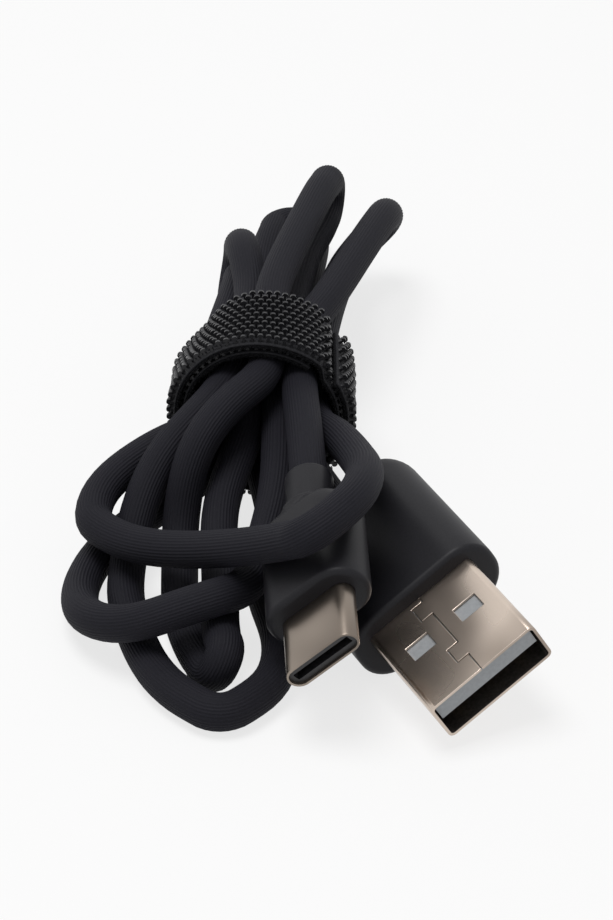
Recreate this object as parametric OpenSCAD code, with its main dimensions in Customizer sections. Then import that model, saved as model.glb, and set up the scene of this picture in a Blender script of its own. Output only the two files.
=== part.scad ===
// Charging cable, USB-A plug to USB-C plug, folded in a hank and held by a hook-and-loop tie.
// Units are mm and +Z is up. The cable lies on the plane z = 0 with both plugs towards -Y.

/* [Cord] */
// Outside diameter of the jacket. The whole hank grows with it
cord_diameter = 3.6; // [3.4:0.1:4]

/* [Hook-and-loop tie] */
// Width of the strap, along the cord
tie_width = 10; // [8:0.5:10.5]
// Thickness of the loop pile, on the strap's inner side
pile_thickness = 0.25; // [0.15:0.01:0.3]
// Thickness of the woven backing
backing_thickness = 0.25; // [0.15:0.01:0.3]
// Height of the hooks, on the strap's outer side
hook_height = 0.85; // [0.6:0.05:0.9]
// How far the loose end of the strap reaches round the hank, in degrees
tail_sweep = 80; // [60:5:85]

/* [USB-A plug] */
// Width of the moulded grip
usb_a_grip_width = 16; // [14:0.5:17]
// Thickness of the moulded grip
usb_a_grip_thickness = 7.8; // [7:0.1:8]
// Length of the moulded grip
usb_a_grip_length = 18; // [16.5:0.5:20]

/* [USB-C plug] */
// Width of the moulded grip
usb_c_grip_width = 11; // [10.5:0.1:12]
// Thickness of the moulded grip
usb_c_grip_thickness = 6; // [5.6:0.1:6.5]
// Length of the moulded grip, without its neck
usb_c_grip_length = 12.5; // [11.5:0.5:15]
// Diameter of the neck where the cord comes out
usb_c_neck_diameter = 4.7; // [4.4:0.1:5.5]

/* [Hidden] */
$fn = 48;
cut = 0.01; // how far a cutting solid runs past a face
join = 1; // how far solids of one piece run into each other
fit = 0.02; // room around a piece that sits inside another
close_fit = 0.01; // room around a piece that is moulded into another

// Cord: points on the centreline, chosen by hand for a 3.6 mm cord, from the USB-C plug to the USB-A plug.
cord_radius = cord_diameter / 2;
cord_sides = 8;
route_scale = cord_diameter / 3.6;
usb_c_lead_points = [
    [4.9, -28.4, 12.1], [4.6, -23, 13], [4.1, -14, 13.6], [3.7, -7.3, 13.3], [4, 3.8, 13.3]
];
hank_points = [
    // first loop behind the tie
    [6.6, 11, 13.2], [11.6, 27.5, 12.2], [13.2, 34, 10.8], [13, 37.3, 7.8], [10.6, 35.5, 6], [7.9, 26, 7],
    [5.3, 3.8, 9.5],
    // wide loop in front, over the USB-C plug
    [5.3, -7.3, 9.5], [7.2, -13, 11.7], [9.2, -21.2, 14.3], [9.8, -29, 17.3], [8.2, -35.6, 18.7],
    [4.5, -39, 17.7], [1.2, -35.5, 14.3], [-7, -28, 8.4], [-12, -24.8, 6.8], [-16.2, -20.5, 6.4],
    [-15.6, -15.2, 7], [-9.8, -9.6, 8.6], [-5.6, -7.9, 9.6],
    // second loop behind
    [-5.3, 3.8, 9.5], [-3, 20.5, 9], [-2.8, 23.4, 8.6], [-1.3, 24.9, 7.9], [0.1, 23.2, 7], [0, 20, 6.9],
    [-1.6, 3.8, 8.8],
    // narrow loop in front
    [-1.6, -7.3, 8.8], [-4, -18, 6.5], [-3.8, -28, 4.3], [-3.6, -36, 4.4], [-3.1, -38.7, 4.5],
    [-4.2, -39.2, 2.2], [-6, -35.5, 1.8], [-7.6, -29, 1.8], [-7.9, -22, 2.5], [-7.9, -18.3, 5],
    [-6.5, -15.4, 11.4], [-3.2, -11.4, 14.4], [0, -7.3, 14.8],
    // third loop behind
    [0.6, 3.8, 14.8], [0.9, 10, 14.9], [4.4, 27, 14.2], [6.3, 35.6, 13.4], [6.8, 38, 12.6], [6.9, 38.8, 11],
    [6.7, 38, 9.4], [6.2, 35.6, 8.6], [4.2, 28, 8.8], [1.7, 3.8, 10.2],
    // middle loop in front
    [1.7, -7.3, 10.2], [1.5, -19, 9], [0.4, -25.5, 7.6], [-1.1, -31.5, 6.7], [-3.4, -34.8, 8],
    [-7, -36, 7.5], [-12, -36, 5.5], [-16.3, -32, 3.5], [-17.4, -26, 2.2], [-15.8, -19.5, 2.1],
    [-13, -15.2, 2.4], [-8.4, -11.2, 3.7], [-3.7, -7.3, 5.8],
    // fourth loop behind
    [-3.7, 3.8, 5.8], [-3.6, 14, 4.4], [-3.6, 26.5, 4.6], [-3, 29.3, 7.6], [-2.8, 27.3, 10.6],
    [-2.3, 22, 12.6], [-1.4, 14, 12.1], [-2.2, 3.8, 12.5],
    // long loop in front
    [-4, -7.3, 13.3], [-6.4, -10.4, 12.1], [-9.3, -13.4, 10.2], [-11.6, -16.8, 7], [-13, -22.5, 2.5],
    [-12.8, -28, 1.9], [-8.8, -40, 1.8], [-3.5, -44.5, 1.8], [1, -40.5, 1.8], [2, -34, 1.8],
    [0.2, -25, 1.9], [0.9, -19.5, 2.0], [1.3, -14.5, 2.6], [0, -7.3, 4.2],
    // fifth loop behind
    [0, 3.8, 4.2], [-0.4, 24, 1.9], [-0.6, 32, 3.2], [0.4, 40.5, 4.1], [1.1, 43.5, 3.9], [2.9, 44.7, 3.7],
    [4.7, 43.4, 3.7], [5.2, 41, 3.8], [3.7, 22, 5.2]
];
usb_a_lead_points = [
    [3.7, 6, 5.8], [3.7, 3.8, 5.8], [3.7, -7.3, 5.8], [5.2, -12, 6.2], [7.9, -18.9, 6.3],
    [10.5, -24.3, 6.3]
];
cord_points = route_scale * concat(usb_c_lead_points, hank_points, usb_a_lead_points);
hank_first = len(usb_c_lead_points) - 1;
hank_last = hank_first + len(hank_points) + 1;

// The object's bounding box is centred on X and Y.
to_origin = [-3.69, 1.02, 0];

// Tie: one strap wound round the strands twice. Its second turn climbs over its own start.
tie_centre_y = -1.75;
tie_centre_z = 9.5 * route_scale;
strand_ring = 5.4; // how far the outer strands lie from the middle of the tie
tie_inner_radius = strand_ring * route_scale + cord_radius;
pressed_height = 0.4; // of the hooks that the second turn presses down
turn_gap = 0.02; // between the two turns
wrap_rise = pile_thickness + backing_thickness + pressed_height + turn_gap;
wrap_start = 52; // degrees from +X where the strap starts
climb_start = 343; // degrees of winding where the strap climbs over its start
climb_end = 357;
hooks_rise = 341; // degrees of winding where the pressed hooks end
tail_root = 618; // degrees of winding where the loose end starts
tail_gap = 0.4; // degrees between the wound strap and the loose end
strap_step = 5; // degrees between points of the strap's outline
// The strap isn't round: it bulges at its front edge and dips at its rear edge, where the strands come together.
front_bulge = [0.6, 138, 75]; // height, middle and half width in degrees
rear_dip = [-1.45, 140, 45];

// USB-A plug, where the cord leaves it, and how it is turned
usb_a_at = route_scale * [7.9, -18.9, 6.3];
usb_a_yaw = 26;
usb_a_roll = 31;
usb_a_side_radius = 3.5;
usb_a_front_radius = 0.6;
usb_a_rear_radius = 2.5;
usb_a_shell = [12, 4.5]; // outside width and height, fixed by the connector's standard
usb_a_shell_corner = 0.6;
usb_a_shell_out = 12; // length outside the grip
usb_a_shell_in = 6; // length inside the grip
usb_a_sheet = 0.3;
usb_a_seam = 0.1; // width of the seam where the folded sheet meets
usb_a_seam_depth = 0.15;
usb_a_lock = [1.3, 2.1]; // reach and length of a dovetail lock to one side of the seam
usb_a_lock_places = [2.4, 9.3]; // behind the mouth
usb_a_tongue = 1.84; // thickness of the insulator beside the contacts
usb_a_tongue_front = 0.3; // how far the insulator lies behind the mouth
usb_a_tongue_side = 0.2; // room on each side of the insulator
usb_a_cavity = 8.9; // depth of the opening
usb_a_block = 8.6; // length of the insulator's solid rear end
usb_a_shoulder = -usb_a_grip_length;
usb_a_mouth = usb_a_shoulder - usb_a_shell_out;
usb_a_contact_x = [-3.5, -1, 1, 3.5];
usb_a_contact_front = [1.1, 2.1, 2.1, 1.1]; // behind the mouth
usb_a_contact = [1, 0.28]; // width and thickness
usb_a_contact_proud = 0.06; // how far a contact stands out of the insulator
usb_a_contact_tail = 2.5; // length of a contact behind the insulator
usb_a_hole = [2.5, 1.95];
usb_a_hole_x = 2.8;
usb_a_hole_back = 7; // centre of the latch holes behind the mouth
usb_a_shield = [12.6, 5.1]; // outside of the rear shield
usb_a_shield_corner = 0.7;
usb_a_shield_front = 3.5; // behind the shoulder
usb_a_shield_sheet = 0.25;
usb_a_shield_rear = -7;
usb_a_collar_end = -3.5;
usb_a_cord_depth = 6; // how far the cord goes in
usb_a_bore_room = 0.1;
usb_a_wire_radius = 0.45;
usb_a_wire_overlap = 1.5; // length of a wire on its contact
wire_spread = 0.5; // how far each wire lies from the cord's centreline
wire_start = 0.1; // room between the cord's end and the wires
wire_straight = 0.9; // straight length at the start of a wire

// USB-C plug, where the cord leaves it, and how it is turned
usb_c_at = route_scale * [4.6, -23, 13];
usb_c_yaw = 3;
usb_c_pitch = 9;
usb_c_roll = 45;
usb_c_neck_length = 5;
usb_c_side_radius = 2.9;
usb_c_front_radius = 0.6;
usb_c_rear_radius = 3;
usb_c_shell = [8.25, 2.4]; // outside width and height, fixed by the connector's standard
usb_c_shell_out = 6.5;
usb_c_shell_in = 5;
usb_c_sheet = 0.25;
usb_c_shoulder = -usb_c_neck_length - usb_c_grip_length;
usb_c_mouth = usb_c_shoulder - usb_c_shell_out;
usb_c_slot = [6.7, 0.8]; // width and height of the opening in the housing
usb_c_slot_corner = 0.1;
usb_c_slot_depth = 5;
usb_c_housing_front = 0.35; // behind the mouth
usb_c_housing_rear = usb_c_shoulder + 4.5;
usb_c_contact_pitch = 0.5;
usb_c_contact = [0.25, 0.12]; // width and thickness
usb_c_contact_proud = 0.04; // how far a contact stands into the slot
usb_c_contact_on_board = 1.2; // length of a contact on the board
usb_c_contact_back = 1.5; // tip of the contacts behind the mouth
usb_c_middle_place = 6.5; // of the twelve places
usb_c_upper_places = [1, 4, 5, 6, 7, 9, 12]; // a cable of this kind has only some of the twelve
usb_c_lower_places = [1, 4, 9, 12];
usb_c_spring = [5.6, 2.2, 0.1];
usb_c_spring_back = 1.2; // front of the springs behind the mouth
usb_c_latch = [0.2, 4.6, 0.5]; // one arm of the latch plate
usb_c_latch_sheet = 0.15;
usb_c_latch_plate_back = 6; // front of the plate behind the mouth
usb_c_latch_overlap = 0.2; // how far an arm runs beside the plate
usb_c_board = [7.6, 5, 0.7];
usb_c_board_front = usb_c_shoulder + usb_c_shell_in + 0.1;
usb_c_board_rear = usb_c_board_front + usb_c_board[1];
usb_c_resistor = [1, 0.5, 0.35];
usb_c_resistor_at = [-2.4, 2.6]; // on the board, from its middle and its front
usb_c_can = [9, 3.7]; // outside of the rear shield
usb_c_can_corner = 0.6;
usb_c_can_sheet = 0.2;
usb_c_can_rear = usb_c_board_rear + 0.9;
usb_c_collar_end = usb_c_can_rear + 3;
usb_c_wire_radius = 0.35;
usb_c_wire_start = usb_c_can_rear + 0.9;
usb_c_wire_places = [0.6, 1.2, 1.6]; // sideways, from the cord to the board

// ---- swept tubes: one ring of points at each point of a path ----

function unit(v) = v / norm(v);

function along(p, i) =
    i == 0 ? unit(p[1] - p[0])
    : i == len(p) - 1 ? unit(p[i] - p[i - 1])
    : unit(unit(p[i + 1] - p[i]) + unit(p[i] - p[i - 1]));

function square_to(v, t) = unit(v - (v * t) * t);

// A sideways direction at each point, carried along the path without twist
function sideways(p) = [
    for (i = 0, s = square_to([0.1, 0.2, 1], along(p, 0)); i < len(p);
        i = i + 1, s = i < len(p) ? square_to(s, along(p, i)) : s) s
];

function ring(centre, t, s, radius, sides) = [
    for (k = [0:sides - 1])
        let (a = 360 * k / sides) centre + radius * (cos(a) * s + sin(a) * cross(t, s))
];

function rings(p, radius, sides) =
    let (s = sideways(p)) [for (i = [0:len(p) - 1]) ring(p[i], along(p, i), s[i], radius, sides)];

// The two halves of a tube are cut into triangles as mirror images, so that layers with shared corners fit.
module tube(all_rings, first, last) {
    sides = len(all_rings[0]);
    count = last - first + 1;
    polyhedron(
        points = [for (i = [first:last]) for (q = all_rings[i]) q],
        faces = concat(
            [[for (k = [0:sides - 1]) k]],
            [for (i = [0:count - 2]) for (k = [0:sides - 1]) for (half = [0, 1])
                let (a = i * sides + k, b = a + sides, d = i * sides + (k + 1) % sides, c = d + sides,
                    flip = k >= sides / 2)
                half == 0 ? [a, b, flip ? d : c] : [flip ? b : a, c, d]],
            [[for (k = [sides - 1:-1:0]) (count - 1) * sides + k]]
        )
    );
}

module wire(points, radius) tube(rings(points, radius, 6), 0, len(points) - 1);

// ---- shared shapes ----

overshoot = 2; // how far an outline's solid runs past the piece it trims

// Solid between y0 and y1 with the section drawn in X and Z
module bar(y0, y1) translate([0, y1, 0]) rotate([90, 0, 0]) linear_extrude(y1 - y0) children();

module rounded(size, radius) offset(radius) square([size[0] - 2 * radius, size[1] - 2 * radius], center = true);

// A plan outline from y = 0 back to -length, with its own radius at the front and at the rear
module plan(width, length, front, rear) {
    hull() {
        for (side = [-1, 1]) {
            translate([side * (width / 2 - front), front - length]) circle(front);
            translate([side * (width / 2 - rear), -rear]) circle(rear);
        }
    }
}

// Moulded grip: section, plan and side outline in one
module grip_body(width, thickness, length, side, front, rear) {
    intersection() {
        bar(-length, 0) rounded([width, thickness], side);
        linear_extrude(thickness + overshoot, center = true) plan(width, length, front, rear);
        rotate([0, 90, 0]) linear_extrude(width + overshoot, center = true) plan(thickness, length, front, rear / 2);
    }
}

module place_usb_a() {
    translate(to_origin + usb_a_at) rotate([0, 0, usb_a_yaw]) rotate([0, -usb_a_roll, 0]) children();
}

module place_usb_c() {
    translate(to_origin + usb_c_at) rotate([0, 0, usb_c_yaw]) rotate([usb_c_pitch, 0, 0])
        rotate([0, -usb_c_roll, 0]) children();
}

module box(x, y, z) translate([x[0], y[0], z[0]]) cube([x[1] - x[0], y[1] - y[0], z[1] - z[0]]);

// ---- cord ----

cord_rings = rings(cord_points, cord_radius, cord_sides);

module cord_hank() color("#2b2b30") translate(to_origin) tube(cord_rings, hank_first, hank_last);

module usb_c_lead() color("#2b2b30") translate(to_origin) tube(cord_rings, 0, hank_first);

module usb_a_lead() color("#2b2b30") translate(to_origin) tube(cord_rings, hank_last, len(cord_points) - 1);

// ---- tie ----

// How far the strap has climbed outwards after winding by a degrees
function climb(a) =
    a <= climb_start ? 0
    : a >= climb_end ? wrap_rise
    : wrap_rise * (1 - cos(180 * (a - climb_start) / (climb_end - climb_start))) / 2;

function hooks_at(a) =
    a <= hooks_rise ? pressed_height
    : a >= climb_start ? hook_height
    : pressed_height + (hook_height - pressed_height) * (a - hooks_rise) / (climb_start - hooks_rise);

// A smooth hump of form [height, middle, half width], at a degrees from +X
function hump(form, a) =
    let (off = abs((a - form[1] + 540) % 360 - 180))
    off >= form[2] ? 0 : form[0] * (1 + cos(180 * off / form[2])) / 2;

// Corners of the strap's section at a degrees of winding: front and rear, inside and outside
function strap_section(a, inner, outer) =
    let (dir = a + wrap_start, u = [cos(dir), 0, sin(dir)],
        front = climb(a) + hump(front_bulge, dir), rear = climb(a) + hump(rear_dip, dir),
        half = [0, tie_width / 2, 0])
    [(inner + front) * u - half, (outer + front) * u - half,
        (outer + rear) * u + half, (inner + rear) * u + half];

module strap_layer(sections)
    translate(to_origin + [0, tie_centre_y, tie_centre_z]) tube(sections, 0, len(sections) - 1);

function strap_stops(from, to) =
    concat(from, [for (k = [floor(from / strap_step) + 1:ceil(to / strap_step) - 1]) k * strap_step], to);

pile_outside = tie_inner_radius + pile_thickness;
backing_outside = pile_outside + backing_thickness;

module pile(from, to)
    strap_layer([for (a = strap_stops(from, to)) strap_section(a, tie_inner_radius, pile_outside)]);

module backing(from, to)
    strap_layer([for (a = strap_stops(from, to)) strap_section(a, pile_outside, backing_outside)]);

module hooks(from, to)
    strap_layer([for (a = strap_stops(from, to))
        strap_section(a, backing_outside, backing_outside + hooks_at(a))]);

module tie_pile() color("#141416") pile(0, tail_root);

module tie_backing() color("#202024") backing(0, tail_root);

module tie_hooks() color("#1a1a1d") hooks(0, tail_root);

module tail_pile() color("#141416") pile(tail_root + tail_gap, tail_root + tail_sweep);

module tail_backing() color("#202024") backing(tail_root + tail_gap, tail_root + tail_sweep);

module tail_hooks() color("#1a1a1d") hooks(tail_root + tail_gap, tail_root + tail_sweep);

// ---- USB-A plug, drawn with the cord leaving at the origin and the mouth towards -Y ----

usb_a_inside = usb_a_shell - 2 * usb_a_sheet * [1, 1];
usb_a_inside_corner = usb_a_shell_corner - usb_a_sheet;
usb_a_tongue_low = usb_a_inside[1] / 2 - usb_a_tongue; // face of the tongue that the contacts lie in
usb_a_contact_low = usb_a_tongue_low - usb_a_contact_proud;
usb_a_contact_high = usb_a_contact_low + usb_a_contact[1];
usb_a_block_front = usb_a_mouth + usb_a_cavity;
usb_a_block_rear = usb_a_block_front + usb_a_block;
usb_a_tail_rear = usb_a_block_rear + usb_a_contact_tail;
usb_a_shield_inside = usb_a_shield - 2 * usb_a_shield_sheet * [1, 1];
usb_a_bore = cord_radius + usb_a_bore_room;

module usb_a_shell() color("#b9aa98") place_usb_a() {
    rear = usb_a_shoulder + usb_a_shell_in;
    groove = [usb_a_shell[1] / 2 - usb_a_seam_depth, usb_a_shell[1] / 2 + cut];
    difference() {
        bar(usb_a_mouth, rear) rounded(usb_a_shell, usb_a_shell_corner);
        bar(usb_a_mouth - cut, rear + cut) rounded(usb_a_inside, usb_a_inside_corner);
        for (x = [-usb_a_hole_x, usb_a_hole_x])
            translate([x, usb_a_mouth + usb_a_hole_back, 0])
                cube([usb_a_hole[0], usb_a_hole[1], usb_a_shell[1] + join], center = true);
        // the seam where the folded sheet meets, with two dovetail locks
        box([-usb_a_seam / 2, usb_a_seam / 2], [usb_a_mouth - cut, usb_a_shoulder], groove);
        for (place = usb_a_lock_places) for (end = [0, usb_a_lock[1]]) {
            y = usb_a_mouth + place + end;
            box([-usb_a_lock[0], usb_a_seam / 2], [y, y + usb_a_seam], groove);
        }
    }
}

module usb_a_contact_strips(room) {
    for (i = [0:len(usb_a_contact_x) - 1]) {
        x = usb_a_contact_x[i];
        box([x - usb_a_contact[0] / 2 - room, x + usb_a_contact[0] / 2 + room],
            [usb_a_mouth + usb_a_contact_front[i] - room, usb_a_tail_rear + room],
            [usb_a_contact_low - room, usb_a_contact_high + room]);
    }
}

module usb_a_insulator() color("#d9d8d2") place_usb_a() {
    tongue_side = usb_a_inside[0] / 2 - fit - usb_a_tongue_side;
    difference() {
        union() {
            bar(usb_a_block_front, usb_a_block_rear)
                rounded(usb_a_inside - 2 * fit * [1, 1], usb_a_inside_corner);
            box([-tongue_side, tongue_side],
                [usb_a_mouth + usb_a_tongue_front, usb_a_block_front + join],
                [usb_a_tongue_low, usb_a_inside[1] / 2 - fit]);
        }
        usb_a_contact_strips(close_fit);
    }
}

module usb_a_contacts() color("#c9a24a") place_usb_a() usb_a_contact_strips(0);

module usb_a_rear_shield() color("#a8a8a4") place_usb_a() {
    front = usb_a_shoulder + usb_a_shield_front;
    sheet = usb_a_shield_sheet;
    difference() {
        union() {
            bar(front, usb_a_shield_rear) rounded(usb_a_shield, usb_a_shield_corner);
            bar(usb_a_shield_rear - cut, usb_a_collar_end) circle(usb_a_bore + sheet);
        }
        bar(front - cut, usb_a_shield_rear - sheet)
            rounded(usb_a_shield_inside, usb_a_shield_corner - sheet);
        bar(usb_a_shield_rear - 2 * sheet, usb_a_collar_end + cut) circle(usb_a_bore);
    }
}

// Each wire goes from the end of the cord to the rear end of a contact.
module usb_a_wire_set(radius) {
    start = -usb_a_cord_depth - wire_start;
    top = usb_a_contact_high + usb_a_wire_radius;
    for (i = [0:len(usb_a_contact_x) - 1]) {
        side = i < 2 ? -wire_spread : wire_spread;
        level = i % 2 == 0 ? wire_spread : -wire_spread;
        landing = usb_a_tail_rear - fit;
        wire([[side, start, level], [side, start - wire_straight, level],
            [usb_a_contact_x[i], landing, top],
            [usb_a_contact_x[i], landing - usb_a_wire_overlap, top]], radius);
    }
}

module usb_a_wires() color("#b03030") place_usb_a() usb_a_wire_set(usb_a_wire_radius);

module usb_a_inner_mould() color("#e8e6dc") place_usb_a() difference() {
    bar(usb_a_block_rear + fit, usb_a_shield_rear - usb_a_shield_sheet - fit)
        rounded(usb_a_inside - 2 * fit * [1, 1], usb_a_inside_corner);
    usb_a_contact_strips(fit);
    usb_a_wire_set(usb_a_wire_radius + usb_a_bore_room);
}

module usb_a_grip() color("#232327") place_usb_a() difference() {
    grip_body(usb_a_grip_width, usb_a_grip_thickness, usb_a_grip_length,
        usb_a_side_radius, usb_a_front_radius, usb_a_rear_radius);
    bar(usb_a_shoulder - cut, usb_a_shoulder + usb_a_shell_in)
        rounded(usb_a_shell + 2 * fit * [1, 1], usb_a_shell_corner);
    bar(usb_a_shoulder + usb_a_shield_front - fit, usb_a_shield_rear + fit)
        rounded(usb_a_shield + 2 * fit * [1, 1], usb_a_shield_corner);
    bar(usb_a_shield_rear, usb_a_collar_end + fit) circle(usb_a_bore + usb_a_shield_sheet + fit);
    bar(usb_a_shield_rear, cut) circle(usb_a_bore);
}

// ---- USB-C plug, drawn with the cord leaving at the origin and the mouth towards -Y ----

usb_c_inside = usb_c_shell - 2 * usb_c_sheet * [1, 1];
usb_c_contact_face = usb_c_slot[1] / 2 - usb_c_contact_proud;
usb_c_contact_front = usb_c_mouth + usb_c_contact_back;
usb_c_contact_rear = usb_c_board_front + usb_c_contact_on_board;

module stadium(size) rounded(size, size[1] / 2 - cut);

module block(size, room) cube(size + 2 * room * [1, 1, 1], center = true);

module usb_c_shell() color("#b9aa98") place_usb_c() difference() {
    bar(usb_c_mouth, usb_c_shoulder + usb_c_shell_in) stadium(usb_c_shell);
    bar(usb_c_mouth - cut, usb_c_shoulder + usb_c_shell_in + cut) stadium(usb_c_inside);
}

module usb_c_contact_strips(places, level, room) {
    for (n = places) {
        x = (usb_c_middle_place - n) * usb_c_contact_pitch;
        low = level > 0 ? usb_c_contact_face : -usb_c_contact_face - usb_c_contact[1];
        box([x - usb_c_contact[0] / 2 - room, x + usb_c_contact[0] / 2 + room],
            [usb_c_contact_front - room, usb_c_contact_rear + room],
            [low - room, low + usb_c_contact[1] + room]);
    }
}

// Spring plates between the housing and the shell, one above and one below
module usb_c_spring_plates(room) {
    for (side = [-1, 1])
        translate([0, usb_c_mouth + usb_c_spring_back + usb_c_spring[1] / 2,
            side * (usb_c_inside[1] / 2 - fit - usb_c_spring[2] / 2)])
            block(usb_c_spring, room);
}

// Plate in the middle of the housing, with an arm on each side of the slot
module usb_c_latch_shape(room) {
    front = usb_c_mouth + usb_c_latch_plate_back;
    rear = usb_c_housing_rear - usb_c_latch_overlap;
    arm_x = usb_c_slot[0] / 2 + fit;
    plate_width = 2 * (arm_x + usb_c_latch[0]);
    translate([0, (front + rear) / 2, 0]) block([plate_width, rear - front, usb_c_latch_sheet], room);
    for (side = [-1, 1])
        translate([side * (arm_x + usb_c_latch[0] / 2),
            front - usb_c_latch[1] / 2 + usb_c_latch_overlap, 0])
            block(usb_c_latch, room);
}

module usb_c_housing() color("#0e0e10") place_usb_c() difference() {
    bar(usb_c_mouth + usb_c_housing_front, usb_c_housing_rear)
        stadium(usb_c_inside - 2 * fit * [1, 1]);
    bar(usb_c_mouth, usb_c_mouth + usb_c_housing_front + usb_c_slot_depth)
        rounded(usb_c_slot, usb_c_slot_corner);
    usb_c_contact_strips(usb_c_upper_places, 1, close_fit);
    usb_c_contact_strips(usb_c_lower_places, -1, close_fit);
    usb_c_spring_plates(close_fit);
    usb_c_latch_shape(close_fit);
}

module usb_c_upper_contacts() color("#c9a24a") place_usb_c() usb_c_contact_strips(usb_c_upper_places, 1, 0);

module usb_c_lower_contacts() color("#c9a24a") place_usb_c() usb_c_contact_strips(usb_c_lower_places, -1, 0);

module usb_c_latch_plate() color("#a8a8a4") place_usb_c() usb_c_latch_shape(0);

module usb_c_ground_springs() color("#a8a8a4") place_usb_c() usb_c_spring_plates(0);

module usb_c_board_place(room)
    translate([0, usb_c_board_front + usb_c_board[1] / 2, 0]) block(usb_c_board, room);

module usb_c_board() color("#1f6b3a") place_usb_c() usb_c_board_place(0);

module usb_c_resistor_place(room)
    translate([usb_c_resistor_at[0], usb_c_board_front + usb_c_resistor_at[1],
        usb_c_board[2] / 2 + usb_c_resistor[2] / 2 + close_fit / 2]) block(usb_c_resistor, room);

module usb_c_resistor() color("#222222") place_usb_c() usb_c_resistor_place(0);

module usb_c_rear_shield() color("#a8a8a4") place_usb_c() {
    front = usb_c_shoulder + usb_c_shell_in + fit;
    sheet = usb_c_can_sheet;
    difference() {
        union() {
            bar(front, usb_c_can_rear) rounded(usb_c_can, usb_c_can_corner);
            bar(usb_c_can_rear - cut, usb_c_collar_end) circle(cord_radius + fit + sheet);
        }
        bar(front - cut, usb_c_can_rear - sheet)
            rounded(usb_c_can - 2 * sheet * [1, 1], usb_c_can_corner - sheet);
        bar(usb_c_can_rear - 2 * sheet, usb_c_collar_end + cut) circle(cord_radius + fit);
    }
}

// Two wires lie on each face of the board.
module usb_c_wire_set(radius) {
    for (side = [-1, 1]) for (level = [-1, 1]) {
        height = level * (usb_c_board[2] / 2 + usb_c_wire_radius + close_fit);
        wire([[side * wire_spread, usb_c_wire_start, level * wire_spread],
            [side * usb_c_wire_places[0], usb_c_board_rear + 0.6, height],
            [side * usb_c_wire_places[1], usb_c_board_rear - 0.4, height],
            [side * usb_c_wire_places[2], usb_c_board_rear - 1.6, height]], radius);
    }
}

module usb_c_wires() color("#b03030") place_usb_c() usb_c_wire_set(usb_c_wire_radius);

module usb_c_inner_mould() color("#e8e6dc") place_usb_c() difference() {
    bar(usb_c_shoulder + usb_c_shell_in + 2 * fit, usb_c_can_rear - usb_c_can_sheet - fit)
        rounded(usb_c_can - 2 * (usb_c_can_sheet + fit) * [1, 1], usb_c_can_corner - usb_c_can_sheet);
    usb_c_board_place(close_fit);
    usb_c_resistor_place(close_fit);
    usb_c_contact_strips(usb_c_upper_places, 1, close_fit);
    usb_c_contact_strips(usb_c_lower_places, -1, close_fit);
    usb_c_wire_set(usb_c_wire_radius + 3 * fit);
}

module usb_c_grip() color("#232327") place_usb_c() difference() {
    union() {
        translate([0, -usb_c_neck_length, 0])
            grip_body(usb_c_grip_width, usb_c_grip_thickness, usb_c_grip_length,
                usb_c_side_radius, usb_c_front_radius, usb_c_rear_radius);
        bar(-usb_c_neck_length - usb_c_rear_radius, 0) circle(usb_c_neck_diameter / 2);
    }
    bar(usb_c_shoulder - cut, usb_c_shoulder + usb_c_shell_in + fit)
        stadium(usb_c_shell + 2 * fit * [1, 1]);
    bar(usb_c_shoulder + usb_c_shell_in, usb_c_can_rear + fit)
        rounded(usb_c_can + 2 * fit * [1, 1], usb_c_can_corner);
    bar(usb_c_can_rear, usb_c_collar_end + fit) circle(cord_radius + usb_c_can_sheet + 2 * fit);
    bar(usb_c_can_rear, cut) circle(cord_radius + fit);
}

cord_hank();
usb_a_lead();
usb_c_lead();
tie_pile();
tie_backing();
tie_hooks();
tail_pile();
tail_backing();
tail_hooks();
usb_a_shell();
usb_a_insulator();
usb_a_contacts();
usb_a_rear_shield();
usb_a_wires();
usb_a_inner_mould();
usb_a_grip();
usb_c_shell();
usb_c_housing();
usb_c_upper_contacts();
usb_c_lower_contacts();
usb_c_latch_plate();
usb_c_ground_springs();
usb_c_board();
usb_c_resistor();
usb_c_rear_shield();
usb_c_wires();
usb_c_inner_mould();
usb_c_grip();
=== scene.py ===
"""Charging cable with a USB-A and a USB-C plug, folded in a hank and held by a hook-and-loop tie.

The sections follow the cable as it is put together: the cord, the tie round it, then the two plugs.
"""
import math

import bpy
import numpy as np
from mathutils import Matrix, Vector


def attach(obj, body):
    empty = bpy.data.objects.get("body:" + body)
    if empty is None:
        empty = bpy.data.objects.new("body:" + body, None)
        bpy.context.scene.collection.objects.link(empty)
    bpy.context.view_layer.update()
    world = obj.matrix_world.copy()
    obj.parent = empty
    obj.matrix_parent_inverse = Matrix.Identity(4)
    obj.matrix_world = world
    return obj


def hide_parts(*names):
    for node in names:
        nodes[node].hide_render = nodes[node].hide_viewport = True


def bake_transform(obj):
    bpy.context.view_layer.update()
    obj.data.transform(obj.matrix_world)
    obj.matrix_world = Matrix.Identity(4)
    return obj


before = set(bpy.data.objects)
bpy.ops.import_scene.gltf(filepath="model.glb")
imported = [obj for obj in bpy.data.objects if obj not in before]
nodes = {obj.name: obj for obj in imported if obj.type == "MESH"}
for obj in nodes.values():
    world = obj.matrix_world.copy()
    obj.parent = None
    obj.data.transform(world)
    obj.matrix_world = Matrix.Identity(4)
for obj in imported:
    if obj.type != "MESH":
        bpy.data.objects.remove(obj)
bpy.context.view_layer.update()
scene = bpy.context.scene
MM = 0.001

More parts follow.
